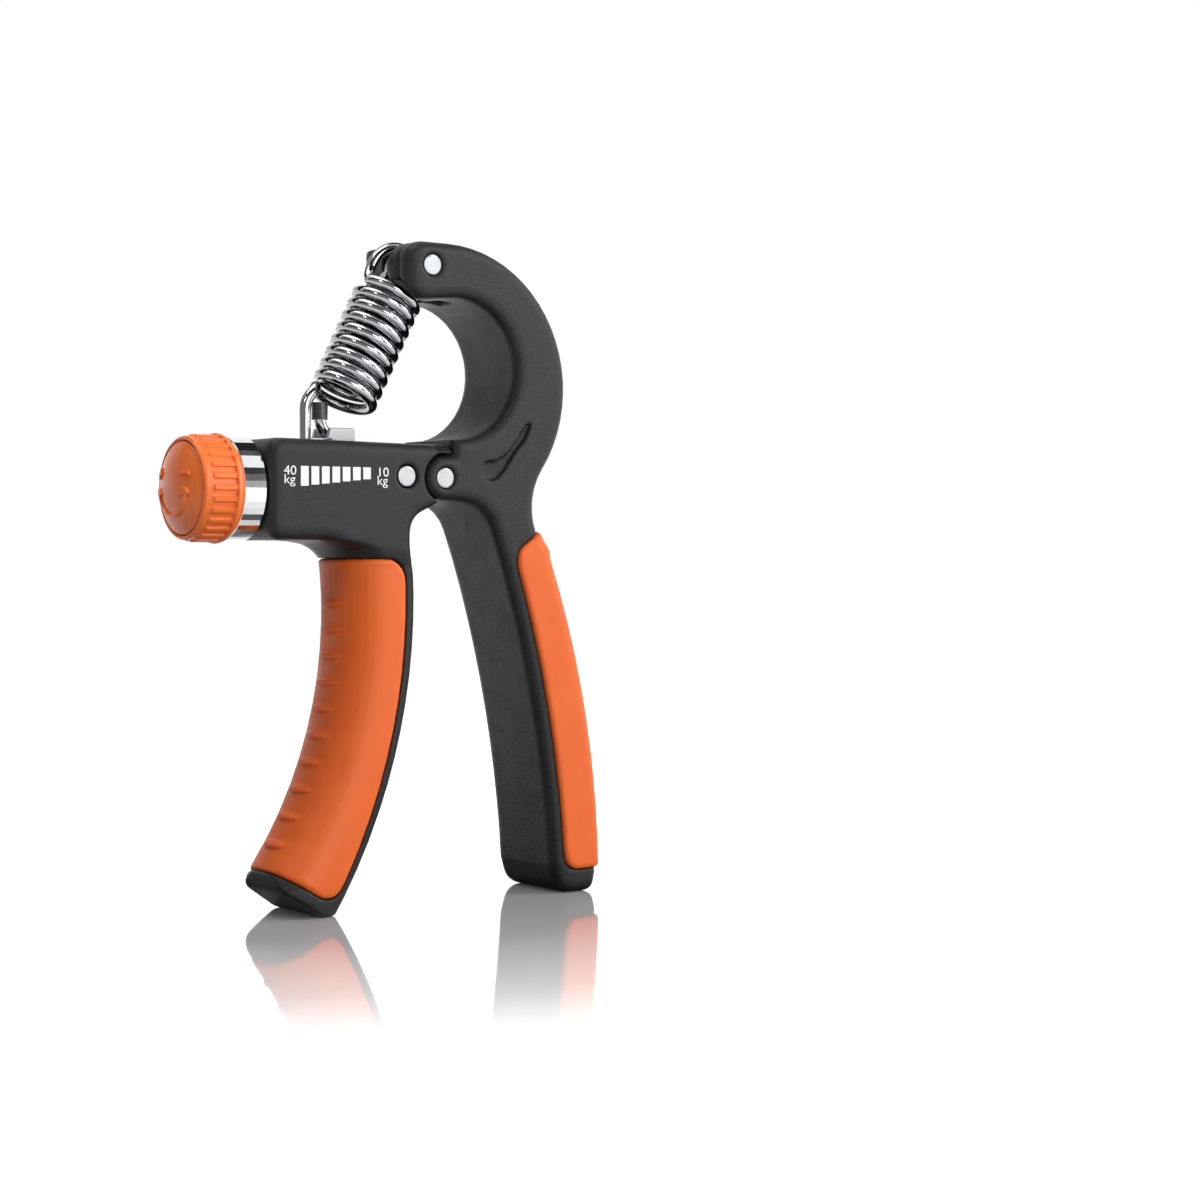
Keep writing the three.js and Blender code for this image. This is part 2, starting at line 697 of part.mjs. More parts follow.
function knobShell() {
  const inner = knob.radius - knob.wall;
  const back = knobBack - knobFloor;
  const bore = screwRadius + slip;
  const flange = knobBack - knob.flangeDepth;
  let shell = turnedSolid([
    [back, bore], [back, inner], [knob.rim + 0.4, inner], [knob.rim, inner + 0.4],
    [knob.rim, knob.radius - 0.5], [knob.rim + 0.5, knob.radius],
    [flange, knob.radius], [flange, knob.flangeRadius - 0.2],
    [flange + 0.2, knob.flangeRadius], [knobBack, knob.flangeRadius - 0.2],
    [knobBack, bore], [back, bore],
  ], 56);
  for (let k = 0; k < knobRib.count; k++) shell = shell.add(knobRidge(k, flange));
  return shell;
}

function knobRidge(k, right) {
  const length = right + 0.2 - knobRib.left;
  const geometry = new THREE.BoxGeometry(length, knobRib.width, 1);
  const reach = knob.radius + knobRib.height - 0.5;
  geometry.translate(knobRib.left + length / 2, 0, reach);
  geometry.rotateX((2 * Math.PI * k) / knobRib.count);
  geometry.translate(0, 0, screwHeight);
  return solid(geometry);
}

function knobCap() {
  const edge = knob.radius - knob.wall - slip;
  const sphere = (edge ** 2 + dome.rise ** 2) / (2 * dome.rise);
  const mouth = knob.rim + 0.1;
  const outside = capArc(mouth - dome.rise, sphere, edge);
  const inside = capArc(mouth - dome.rise + dome.wall, sphere, edge - dome.wall);
  return turned([
    ...outside,
    [mouth + dome.skirt, edge], [mouth + dome.skirt, edge - dome.wall],
    ...inside.reverse(),
  ], 48);
}

// Profile of a dome from its tip on the axis out to a radius.
function capArc(tip, sphere, reach) {
  const count = 6;
  const points = [];
  for (let i = 0; i <= count; i++) {
    const radius = (reach * i) / count;
    points.push([tip + sphere - Math.sqrt(sphere ** 2 - radius ** 2), radius]);
  }
  return points;
}

function knobNut() {
  const right = knobBack - knobFloor - slip;
  const left = right - nut.depth;
  const bore = screwRadius + slip;
  return turnedSolid([[left, 0], [left, nut.radius], [right, nut.radius], [right, 0]], 6)
    .subtract(turnedSolid([[left - 1, 0], [left - 1, bore], [right + 1, bore], [right + 1, 0]], 32));
}

// ---- Slider and its pin ----

function sliderBody() {
  const nutTop = hookPin.z - lowerEye - wire / 2 - seat;
  const half = slider.halfWidth;
  let body = boxSolid(slider.left, slider.right, -half, half, slider.bottom, nutTop);
  for (const side of [-1, 1]) {
    const near = side > 0 ? cheek.inner : -cheek.outer;
    body = body.add(prism(cheekOutline(nutTop), near, near + cheek.outer - cheek.inner));
  }
  const bore = turnedSolid([
    [slider.left - 1, 0], [slider.left - 1, screwRadius + slip],
    [slider.right + 1, screwRadius + slip], [slider.right + 1, 0],
  ], 32);
  return body.subtract(bore).subtract(yCylinder(hookPin, hookPin.radius + slip, -20, 20));
}

function cheekOutline(nutTop) {
  return outlineOf([
    new THREE.Vector2(cheek.left, nutTop - 0.5),
    new THREE.Vector2(slider.right, nutTop - 0.5),
    new THREE.Vector2(slider.right, cheek.overhang),
    new THREE.Vector2(cheek.right, cheek.overhang),
    new THREE.Vector2(cheek.right, cheek.top),
    new THREE.Vector2(cheek.left + 1.6, cheek.top),
    new THREE.Vector2(cheek.left, cheek.top - 1.6),
  ]);
}

// ---- Spring: one wire, from the lower hook through the curls to the upper hook ----

// Point in the spring's own plane: `along` its axis, `aside` to its left, `y` across.
function springPoint(aside, along, y = 0) {
  return new THREE.Vector3(hookPin.x, y, hookPin.z)
    .addScaledVector(springAxis, along)
    .addScaledVector(springSide, aside);
}

function lowerHookPoints() {
  const eye = (angle) => new THREE.Vector3(
    hookPin.x + lowerEye * Math.cos(angle), 0, hookPin.z + lowerEye * Math.sin(angle),
  );
  const back = Math.PI / 3;
  const bend = new THREE.Vector3(hookPin.x + lowerEye, 0, hookPin.z + lowerEye * Math.sqrt(3));
  const tip = sleeve.bottom + sleeve.length;
  const points = [
    new THREE.Vector3(hookPin.x, 0, tip),
    new THREE.Vector3(hookPin.x, 0, tip - wire),
  ];
  for (let i = 0; i <= 3; i++) {
    const angle = Math.PI + (back * i) / 3;
    points.push(new THREE.Vector3(
      bend.x + lowerEye * Math.cos(angle), 0, bend.z + lowerEye * Math.sin(angle),
    ));
  }
  for (let i = 1; i <= 11; i++) points.push(eye(back - ((back + Math.PI) * i) / 11));
  const shank = hookPin.x - lowerEye;
  for (let i = 1; i <= 4; i++) points.push(new THREE.Vector3(shank, 0, hookPin.z + i * 2.1));
  const start = springPoint(coil.radius + 0.2, coil.start - 0.9);
  points.push(new THREE.Vector3(shank + 0.6, 0, start.z - 1.8), start);
  return points;
}

function curlPoints() {
  const points = [];
  const steps = coil.turns * curlSteps;
  for (let i = 1; i < steps; i++) {
    const angle = (2 * Math.PI * i) / curlSteps;
    points.push(springPoint(
      coil.radius * Math.cos(angle),
      coil.start + (coil.pitch * i) / curlSteps,
      coil.radius * Math.sin(angle),
    ));
  }
  return points;
}

function upperHookPoints() {
  const centre = springSpan + pinRadius + seat + wire / 2 - coil.radius;
  const chord = coilEnd + chordLift;
  const points = [springPoint(coil.radius, (coilEnd + centre) / 2 + 0.4)];
  for (let i = 0; i <= 9; i++) {
    const angle = (Math.PI * i) / 9;
    points.push(springPoint(coil.radius * Math.cos(angle), centre + coil.radius * Math.sin(angle)));
  }
  const bend = chord + upperBend;
  if (bend < centre) points.push(springPoint(-coil.radius, bend));
  for (let i = 1; i <= 3; i++) {
    const angle = Math.PI + (Math.PI / 2) * (i / 3);
    points.push(springPoint(
      upperBend - coil.radius + upperBend * Math.cos(angle), bend + upperBend * Math.sin(angle),
    ));
  }
  const tip = coil.radius - 3.1;
  for (const aside of [tip - wire, tip]) points.push(springPoint(aside, chord));
  return points;
}

function springPath() {
  return [...lowerHookPoints(), ...curlPoints(), ...upperHookPoints()];
}

// Skin of one wire: a ring of sides at each point, carried along without twist.
function wireSkin(path, radius, sides) {
  const tangents = path.map((point, i) => {
    const before = path[Math.max(i - 1, 0)];
    const after = path[Math.min(i + 1, path.length - 1)];
    return after.clone().sub(before).normalize();
  });
  let normal = new THREE.Vector3(0, 1, 0);
  const rings = path.map((point, i) => {
    const tangent = tangents[i];
    normal = normal.clone().addScaledVector(tangent, -normal.dot(tangent)).normalize();
    const binormal = tangent.clone().cross(normal);
    return Array.from({ length: sides }, (_, k) => {
      const angle = (2 * Math.PI * k) / sides;
      return point.clone()
        .addScaledVector(normal, radius * Math.cos(angle))
        .addScaledVector(binormal, radius * Math.sin(angle));
    });
  });
  return loft(rings);
}

// Least gap between stretches of the wire that aren't next to each other.
function leastGap(path, thickness) {
  const curve = new THREE.CatmullRomCurve3(path);
  const count = path.length * 4;
  const points = curve.getSpacedPoints(count);
  const step = curve.getLength() / count;
  const apart = Math.ceil((2.2 * thickness) / step);
  let least = Infinity;
  for (let i = 0; i < points.length; i++) {
    for (let k = i + apart; k < points.length; k++) {
      least = Math.min(least, points[i].distanceTo(points[k]));
    }
  }
  return least - thickness;
}

// Capped sleeve on the cut end of the lower hook's wire.
function hookSleeve() {
  const top = sleeve.bottom + sleeve.length;
  return upright(sleeve.radius, sleeve.bottom, top + slip + sleeve.cap)
    .subtract(upright(wire / 2 + 2 * slip, sleeve.bottom - 1, top + slip));
}

function coilDamper() {
  const start = coil.start + damper.start;
  return alongSpring(damper.radius, start, start + damper.length);
}

function upright(radius, low, high) {
  const geometry = new THREE.CylinderGeometry(radius, radius, high - low, 20);
  geometry.rotateX(Math.PI / 2);
  geometry.translate(hookPin.x, 0, (low + high) / 2);
  return solid(geometry);
}

// ---- Assembly ----

function group(...children) {
  const holder = new THREE.Group();
  holder.add(...children);
  return holder;
}

const path = springPath();
console.log(`spring: ${coil.turns} curls, least gap ${leastGap(path, wire).toFixed(2)} mm`);

const front = group(
  named('front_frame', geometryOf(frontFrame()), black),
  named('front_grip', geometryOf(frontGrip()), orangeRubber),
  named('collar', collarRing(), chrome),
  named('screw_bush', screwBush(), brass),
  named('bearing_block', geometryOf(bearingBlock()), zinc),
  named('block_rivet', geometryOf(crossPin(rivet)), steel),
  named('pivot_bush', geometryOf(ringAlongY({ x: 0, z: 0 }, pinRadius + slip, pivotBush.radius,
    -pivotBush.half, pivotBush.half)), brass),
);

const rear = group(
  named('rear_frame', geometryOf(rearFrame()), black),
  named('rear_grip', geometryOf(rearGrip()), orangeRubber),
  named('pivot_pin', geometryOf(crossPin({ x: 0, z: 0 })), steel),
  named('pivot_washer_front', geometryOf(pivotWasher(-1)), nylon),
  named('pivot_washer_back', geometryOf(pivotWasher(1)), nylon),
  named('arc_pin', geometryOf(crossPin(arcPin)), steel),
);

const knobGroup = group(
  named('knob_shell', geometryOf(knobShell()), orangePlastic),
  named('knob_cap', knobCap(), orangePlastic),
  named('knob_nut', geometryOf(knobNut()), steel),
  named('adjusting_screw', adjustingScrew(), steel),
  named('retaining_clip', retainingClip(), steel),
  named('thrust_washer', thrustWasher(), nylon),
);

const sliderGroup = group(
  named('slider', geometryOf(sliderBody()), zinc),
  named('hook_pin', geometryOf(yCylinder(hookPin, hookPin.radius, -cheek.outer, cheek.outer)), steel),
);

const springGroup = group(
  named('hook_washer_front', geometryOf(springWasher(-1)), steel),
  named('hook_washer_back', geometryOf(springWasher(1)), steel),
  named('spring', wireSkin(path, wire / 2, wireSides), chrome),
  named('hook_sleeve', geometryOf(hookSleeve()), blackened),
  named('coil_damper', geometryOf(coilDamper()), black),
);

const grip = group(front, rear, knobGroup, sliderGroup, springGroup);
const bounds = new THREE.Box3().setFromObject(grip, true);
grip.position.set(-(bounds.min.x + bounds.max.x) / 2, 0, -bounds.min.z);

export default grip;
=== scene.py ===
import json
import math

import bmesh
import bpy
import numpy as np
from mathutils import Matrix, Vector


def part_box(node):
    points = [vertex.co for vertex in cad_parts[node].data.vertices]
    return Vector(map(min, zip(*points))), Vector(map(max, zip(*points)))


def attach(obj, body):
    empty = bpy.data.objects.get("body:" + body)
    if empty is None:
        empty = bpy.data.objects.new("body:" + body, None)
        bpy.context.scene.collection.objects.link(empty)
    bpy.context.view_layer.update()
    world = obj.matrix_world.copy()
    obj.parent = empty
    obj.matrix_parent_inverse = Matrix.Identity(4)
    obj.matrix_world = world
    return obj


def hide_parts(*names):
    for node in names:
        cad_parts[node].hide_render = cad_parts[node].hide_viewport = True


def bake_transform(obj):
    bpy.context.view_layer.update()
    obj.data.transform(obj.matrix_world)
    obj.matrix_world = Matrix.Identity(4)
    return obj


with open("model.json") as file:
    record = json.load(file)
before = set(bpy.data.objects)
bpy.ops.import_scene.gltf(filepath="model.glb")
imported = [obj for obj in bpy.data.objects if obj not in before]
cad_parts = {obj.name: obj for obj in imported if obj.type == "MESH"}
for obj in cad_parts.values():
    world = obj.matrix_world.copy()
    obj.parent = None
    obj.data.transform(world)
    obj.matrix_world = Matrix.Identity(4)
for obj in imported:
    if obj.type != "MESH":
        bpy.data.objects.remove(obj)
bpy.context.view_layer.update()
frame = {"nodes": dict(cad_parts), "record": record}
nodes = frame["nodes"]

# Shapes are written in millimetres from the pivot pin, and placed in the frame in metres.
low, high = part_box("pivot_pin")
PIVOT = (low + high) / 2
MM = 0.001
TO_FRAME = Matrix.Translation(PIVOT) @ Matrix.Scale(MM, 4)
FLOOR = -PIVOT.z * 1000  # the floor's height in those millimetres


def at(x, y, z):
    """A place in the frame, from millimetres from the pivot pin."""
    return TO_FRAME @ Vector((x, y, z))


def link(name, data):
    """A new object with this data, in the scene."""
    piece = bpy.data.objects.new(name, data)
    bpy.context.scene.collection.objects.link(piece)
    return piece


# ---- Camera: 72 mm lens, from the front left, level with the handles ----

def make_camera():
    data = bpy.data.cameras.new("camera")
    data.lens = 72
    data.sensor_width = 36
    data.clip_start = 0.01
    camera = link("camera", data)
    camera.location = at(-266.03, -424.61, 73.99 + FLOOR)
    azimuth = math.radians(36.4)
    pitch = math.radians(-1.3)
    camera.rotation_euler = (math.pi / 2 + pitch, 0, -azimuth)
    bpy.context.scene.camera = camera


make_camera()


# ---- Node helpers ----

def set_stops(band, stops):
    """Gives a colour ramp its (position, colour) stops, the first and last at its ends."""
    first, last = band.elements[0], band.elements[-1]
    first.position, first.color = stops[0]
    last.position, last.color = stops[-1]
    for position, colour in stops[1:-1]:
        band.elements.new(position).color = colour


def greys(levels):
    """Colour ramp stops from (position, level) pairs."""
    return [(position, (level, level, level, 1)) for position, level in levels]


class Nodes:
    """A node tree, with short calls for its nodes."""

    def __init__(self, tree):
        self.tree = tree

    def node(self, kind, **inputs):
        node = self.tree.nodes.new(kind)
        for key, value in inputs.items():
            self.feed(node, key.replace("_", " "), value)
        return node

    def feed(self, node, key, value):
        socket = node.inputs[key]
        if isinstance(value, bpy.types.NodeSocket):
            self.tree.links.new(value, socket)
        else:
            socket.default_value = value

    def ramp(self, value, *stops):
        node = self.node("ShaderNodeValToRGB", Fac=value)
        set_stops(node.color_ramp, stops)
        return node.outputs["Color"]

    def span(self, value, low, high, to_low, to_high):
        node = self.node("ShaderNodeMapRange", Value=value)
        for end, number in zip(("From Min", "From Max", "To Min", "To Max"),
                               (low, high, to_low, to_high)):
            node.inputs[end].default_value = number
        return node.outputs["Result"]

    def math(self, operation, first, second):
        node = self.tree.nodes.new("ShaderNodeMath")
        node.operation = operation
        self.feed(node, 0, first)
        self.feed(node, 1, second)
        return node.outputs[0]

    def vector(self, operation, *values):
        node = self.tree.nodes.new("ShaderNodeVectorMath")
        node.operation = operation
        for place, value in enumerate(values):
            self.feed(node, place, value)
        return node.outputs["Value"]

    def mix(self, factor, a, b):
        node = self.tree.nodes.new("ShaderNodeMix")
        node.data_type = "RGBA"
        for key, value in (("Factor", factor), ("A", a), ("B", b)):
            self.feed(node, key, value)
        return node.outputs["Result"]


class Shader(Nodes):
    """A material with one Principled surface."""

    def __init__(self, name):
        self.material = bpy.data.materials.new(name)
        self.material.use_nodes = True
        super().__init__(self.material.node_tree)
        self.surface = self.tree.nodes["Principled BSDF"]
        self.place = self.node("ShaderNodeTexCoord").outputs["Object"]

    def noise(self, scale, detail=2, roughness=0.5):
        node = self.node("ShaderNodeTexNoise", Scale=scale, Detail=detail, Roughness=roughness)
        self.feed(node, "Vector", self.place)
        return node.outputs["Fac"]

    def bump(self, height, distance, strength):
        node = self.node("ShaderNodeBump", Height=height, Distance=distance, Strength=strength)
        return node.outputs["Normal"]

    def tone(self, value, edge, colour, lift):
        """The colour where a noise is low, and the same lighter by `lift` where it is high."""
        lighter = [min(255, c + lift) for c in colour]
        return self.ramp(value, (edge, linear(*colour)), (1 - edge, linear(*lighter)))

    def set(self, **inputs):
        for key, value in inputs.items():
            self.feed(self.surface, key.replace("_", " "), value)


def linear(red, green, blue):
    """A colour given as 0 to 255 numbers, as the render needs it."""
    def one(c):
        c /= 255
        return c / 12.92 if c <= 0.04045 else ((c + 0.055) / 1.055) ** 2.4
    return (one(red), one(green), one(blue), 1)


# ---- Materials ----

def black_plastic():
    s = Shader("black_plastic")
    grain = s.noise(3200, 2, 0.6)
    broad = s.noise(240, 2)
    tone = s.ramp(broad, (0.3, linear(25, 25, 26)), (0.7, linear(31, 31, 32)))
    s.set(Base_Color=tone, Roughness=s.span(broad, 0.3, 0.7, 0.36, 0.46))
    s.set(Specular_IOR_Level=0.24, Normal=s.bump(grain, 0.00022, 0.6))
    return s.material


def orange_rubber():
    s = Shader("orange_rubber")
    grain = s.noise(6000, 1, 0.6)
    broad = s.noise(160, 2)
    tone = s.ramp(broad, (0.3, linear(223, 93, 14)), (0.7, linear(230, 100, 20)))
    s.set(Base_Color=tone, Roughness=s.span(broad, 0.3, 0.7, 0.5, 0.6))
    s.set(Normal=s.bump(grain, 0.0001, 0.2))
    return s.material


def orange_plastic():
    s = Shader("orange_plastic")
    broad = s.noise(160, 2)
    tone = s.ramp(broad, (0.3, linear(240, 112, 38)), (0.7, linear(247, 120, 46)))
    s.set(Base_Color=tone, Roughness=s.span(broad, 0.3, 0.7, 0.34, 0.42))
    s.set(Normal=s.bump(s.noise(4200, 1), 0.0001, 0.12))
    return s.material


def chrome(name, colour, low, high):
    s = Shader(name)
    broad = s.noise(300, 2)
    s.set(Base_Color=s.tone(broad, 0.3, colour, 6))
    s.set(Metallic=1.0, Roughness=s.span(broad, 0.3, 0.7, low, high))
    s.set(Normal=s.bump(s.noise(2600, 2), 0.00004, 0.08))
    return s.material


def brushed(name, colour, low, high):
    s = Shader(name)
    fine = s.noise(3800, 3, 0.6)
    s.set(Base_Color=s.tone(fine, 0.35, colour, 10))
    s.set(Metallic=1.0, Roughness=s.span(fine, 0.35, 0.65, low, high))
    s.set(Normal=s.bump(fine, 0.00008, 0.15))
    return s.material


def plain_plastic(name, colour, roughness):
    s = Shader(name)
    broad = s.noise(500, 2)
    s.set(Base_Color=s.tone(broad, 0.3, colour, 6))
    s.set(Roughness=s.span(broad, 0.3, 0.7, roughness, roughness + 0.08))
    s.set(Normal=s.bump(s.noise(4000, 1), 0.00008, 0.15))
    return s.material


BLACK = black_plastic()
RUBBER = orange_rubber()
ORANGE = orange_plastic()
CHROME = chrome("chrome", (235, 237, 240), 0.03, 0.09)
# The spring's chrome: the collar's chrome made darker, painted shade for the spring's darker
# reflections.
SHADED_SPRING_CHROME = chrome("spring_chrome_painted_shade", (150, 152, 155), 0.05, 0.1)
STEEL = brushed("steel", (160, 162, 164), 0.34, 0.46)
ZINC = brushed("zinc", (150, 151, 153), 0.45, 0.58)
BRASS = brushed("brass_bush", (196, 158, 92), 0.28, 0.4)
NYLON = plain_plastic("nylon", (228, 225, 214), 0.5)
# Near-black for the pieces on the lower hook's free end: painted shade, a dark piece where the
# wire's end lies in shade.
HOOK_END_SHADE_BLACK = plain_plastic("blackened_steel", (30, 30, 32), 0.3)
PRINT = plain_plastic("white_print", (240, 240, 240), 0.45)
SLOT_MATERIALS = {
    "black_plastic": BLACK,
    "orange_rubber": RUBBER,
    "orange_plastic": ORANGE,
    "chrome_metal": CHROME,
    "steel": STEEL,
    "zinc": ZINC,
    "brass_bush": BRASS,
    "nylon": NYLON,
    # the blackened-steel slot gets the near-black painted shade of the hook's end
    "blackened_steel": HOOK_END_SHADE_BLACK,
}


def smooth_shade(mesh, degrees=32):
    mesh.polygons.foreach_set("use_smooth", [True] * len(mesh.polygons))
    mesh.set_sharp_from_angle(angle=math.radians(degrees))


def dress(node, material):
    """Gives a CAD node its material and smooth faces."""
    mesh = node.data
    mesh.materials.clear()
    mesh.materials.append(material)
    smooth_shade(mesh)


SLOTS = {entry["node"]: entry["material_slot"] for entry in frame["record"]["subparts"]}
for node_name, slot_name in SLOTS.items():
    dress(nodes[node_name], SLOT_MATERIALS[slot_name])


# ---- Mesh helpers ----

def mesh_of(name, points, faces):
    """A mesh from points in millimetres from the pivot pin."""
    mesh = bpy.data.meshes.new(name)
    mesh.from_pydata([at(*point) for point in points], [], faces)
    build = bmesh.new()
    build.from_mesh(mesh)
    bmesh.ops.recalc_face_normals(build, faces=build.faces)
    build.to_mesh(mesh)
    build.free()
    return mesh


def applied(piece):
    """Bakes a piece's modifiers into its mesh."""
    graph = bpy.context.evaluated_depsgraph_get()
    mesh = bpy.data.meshes.new_from_object(piece.evaluated_get(graph))
    piece.modifiers.clear()
    piece.data = mesh


def finish_piece(piece, body, material, slot, *replaced):
    """Gives a piece its material and body, and hides the CAD nodes it stands for. The slot is not
    used.
    """
    piece.data.materials.clear()
    piece.data.materials.append(material)
    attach(piece, body)
    if replaced:
        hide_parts(*replaced)


def skin(rings, sides):
    """Faces between neighbouring rings of points."""
    faces = []
    for i in range(1, rings):
        for k in range(sides):
            n = (k + 1) % sides
            faces.append(((i - 1) * sides + k, (i - 1) * sides + n, i * sides + n, i * sides + k))
    return faces


def sweep(path, radius, sides):
    """Points and faces of a round wire along a path, its frame carried along without twist."""
    path = [Vector(point) for point in path]
    count = len(path)
    normal = Vector((0, 1, 0))
    points = []
    for i, centre in enumerate(path):
        tangent = (path[min(i + 1, count - 1)] - path[max(i - 1, 0)]).normalized()
        normal = (normal - tangent * normal.dot(tangent)).normalized()
        side = tangent.cross(normal)
        for k in range(sides):
            angle = 2 * math.pi * k / sides
            points.append(centre + (normal * math.cos(angle) + side * math.sin(angle)) * radius)
    return points, skin(count, sides)


def capped(points, faces, sides, ends):
    """Closes the ends of a skin with a flat face each."""
    if "start" in ends:
        faces = faces + [tuple(range(sides))]
    if "end" in ends:
        faces = faces + [tuple(range(len(points) - sides, len(points)))]
    return faces


def prism(name, outline, y_low, y_high):
    """A closed block from an outline of (x, z) points, between two depths."""
    count = len(outline)
    points = [(x, y_low, z) for x, z in outline] + [(x, y_high, z) for x, z in outline]
    faces = [tuple(range(count)), tuple(range(count, 2 * count))]
    for i in range(count):
        n = (i + 1) % count
        faces.append((i, n, count + n, count + i))
    return link(name, mesh_of(name, points, faces))


def turned(name, profile, centre, axis="Y", steps=48):
    """A piece turned about an axis through a centre: the profile lists (along, radius)."""
    points = []
    for along, radius in profile:
        for k in range(steps):
            angle = 2 * math.pi * k / steps
            c, s = radius * math.cos(angle), radius * math.sin(angle)
            offset = (c, along, s) if axis == "Y" else (along, c, s)
            points.append([a + b for a, b in zip(centre, offset)])
    faces = capped(points, skin(len(profile), steps), steps, ("start", "end"))
    return link(name, mesh_of(name, points, faces))


def rounded(corners):
    """An outline of (x, z) points from (x, z, radius) corners."""
    steps = 6
    outline = []
    count = len(corners)
    for i, (x, z, radius) in enumerate(corners):
        here = Vector((x, z))
        if radius == 0:
            outline.append((x, z))
            continue
        before = (Vector(corners[i - 1][:2]) - here).normalized()
        after = (Vector(corners[(i + 1) % count][:2]) - here).normalized()
        half = before.angle(after) / 2
        centre = here + (before + after).normalized() * (radius / math.sin(half))
        start = here + before * (radius / math.tan(half)) - centre
        end = here + after * (radius / math.tan(half)) - centre
        turn = math.atan2(start.x * end.y - start.y * end.x, start.dot(end))
        for k in range(steps + 1):
            angle = turn * k / steps
            c, s = math.cos(angle), math.sin(angle)
            outline.append((centre.x + start.x * c - start.y * s,
                            centre.y + start.x * s + start.y * c))
    return outline


# ---- Moulded bodies and grips: the CAD shapes, cut finer and with soft edges ----

def moulded(name, node, voxel, passes, cutters=(), proud=0):
    """A CAD shape, cut, remeshed at `voxel` mm, pushed out by `proud` mm and smoothed."""
    piece = link(name, nodes[node].data.copy())
    for cutter in cutters:
        cut = piece.modifiers.new("cut", "BOOLEAN")
        cut.operation = "DIFFERENCE"
        cut.solver = "EXACT"
        cut.object = cutter
    fine = piece.modifiers.new("fine", "REMESH")
    fine.mode = "VOXEL"
    fine.voxel_size = voxel * MM
    if proud:
        push = piece.modifiers.new("push", "DISPLACE")
        push.mid_level = 0
        push.strength = proud * MM
    soften = piece.modifiers.new("soften", "SMOOTH")
    soften.factor = 0.5
    soften.iterations = passes
    applied(piece)
    for cutter in cutters:
        bpy.data.objects.remove(cutter)
    smooth_shade(piece.data, 60)
    return piece


HALF_DEPTH = 11
ARM_PIN = (-3.0, 43.3)
RIVET = (-9.25, 0.2)


def pin_chamfers(x, z):
    """Cones that widen a pin's bore at both faces."""
    inner, outer, depth = 2.3, 2.75, 0.45
    cones = []
    for side in (-1, 1):
        profile = [(side * (HALF_DEPTH - depth), inner), (side * (HALF_DEPTH + 0.05), outer)]
        cones.append(turned("chamfer", profile, (x, 0, z)))
    return cones


def crescent():
    """The finger-nail recess beside the pivot, on both faces."""
    outer = [(21.1, 11.3), (19.7, 8.2), (17.2, 5.6), (14.5, 1.8),
             (12.9, 0.2), (11.1, -0.5), (9.5, 0.3), (9.0, 1.9)]
    inner = [(9.4, 3.3), (10.2, 3.7), (12.2, 3.7), (15.0, 5.3), (17.5, 8.1), (20.2, 12.0)]
    depth = 1.1
    return [prism("crescent", outer + inner, face - depth, face + depth)
            for face in (-HALF_DEPTH, HALF_DEPTH)]


def fork_grooves():
    """The groove round the fork's end in each cheek."""
    inset, right, bend = 0.75, -3.4, 2.4
    low, high = 35.7 + inset, 48.1 - inset
    ring = [(right, 51), (-12, 51), (-12, 33), (right, 33)]
    cut = []
    for side, left in ((-1, -9.2), (1, -6.9)):
        inner = rounded([(right, low, 0), (left + inset + 0.6, low, bend),
                         (left + inset, high, bend), (right, high, 0)])
        near, far = sorted((side * 6.2, side * 7.0))
        cut.append(prism("groove", ring + inner, near, far))
    return cut


def make_moulded():
    front = moulded("front_body", "front_frame", 0.3, 13, pin_chamfers(*RIVET))
    finish_piece(front, "front", BLACK, "black_plastic", "front_frame")
    rear = moulded("rear_body", "rear_frame", 0.3, 9,
                   [*pin_chamfers(*ARM_PIN), *pin_chamfers(0, 0), *crescent(), *fork_grooves()])
    finish_piece(rear, "rear", BLACK, "black_plastic", "rear_frame")
    high = [(-28, 7.8), (-23.4, 7.8), (-22.6, 11), (-28, 11)]
    slider = moulded("slider_body", "slider", 0.16, 2, [prism("relief", high, -6, 6)])
    finish_piece(slider, "slider_block", ZINC, "zinc", "slider")
    front_grip = moulded("front_overmould", "front_grip", 0.28, 24, proud=0.3)
    finish_piece(front_grip, "front", RUBBER, "orange_rubber", "front_grip")
    rear_pad = moulded("rear_overmould", "rear_grip", 0.28, 10, proud=0.3)
    finish_piece(rear_pad, "rear", RUBBER, "orange_rubber", "rear_grip")


make_moulded()


# ---- Ridges on the finger side: spindles laid along the handle's skin ----

FRONT_EDGE = (-20.8, -27.1, 87.3)
FRONT_SPINE = (-5.85, -24.5, 118.1)
FRONT_HALF = 10.2
RIB_FIRST = -25.6
RIB_PITCH = 5.35
RIB_COUNT = 10


def edge_x(curve, z):
    """X of a handle edge, drawn as an arc (right-most x, its z, radius), at height z."""
    x, middle, radius = curve
    return x - radius + math.sqrt(radius ** 2 - (z - middle) ** 2)


def finger_rib(k):
    """One spindle, thickest in the middle, bent round the handle's rounded section."""
    half_length, half_width, height, taper, roundness = 4.9, 0.9, 1.05, 0.97, 0.9
    z = RIB_FIRST - RIB_PITCH * k
    left = edge_x(FRONT_EDGE, z)
    middle = left * 0.45 + edge_x(FRONT_SPINE, z) * 0.55
    reach = middle - left + 0.2
    rings, sides = 24, 16
    points = []
    for i in range(rings + 1):
        share = 2 * i / rings - 1
        y = half_length * share
        sin = math.copysign((abs(y) / FRONT_HALF) ** (1 / roundness), y)
        cos = math.sqrt(1 - sin ** 2)
        out = Vector((-cos / reach, sin / FRONT_HALF, 0)).normalized()
        size = 1 - taper * share ** 2
        for n in range(sides):
            angle = 2 * math.pi * n / sides
            lift = height * size * math.cos(angle)
            points.append((middle - reach * cos + out.x * lift, y + out.y * lift,
                           z + half_width * size * math.sin(angle)))
    faces = capped(points, skin(rings + 1, sides), sides, ("start", "end"))
    rib = link(f"finger_rib_{k}", mesh_of("finger_rib", points, faces))
    smooth_shade(rib.data, 50)
    finish_piece(rib, "front", RUBBER, "orange_rubber")


for rib_place in range(RIB_COUNT):
    finger_rib(rib_place)


# ---- Spring: round wire on the CAD tube's path ----

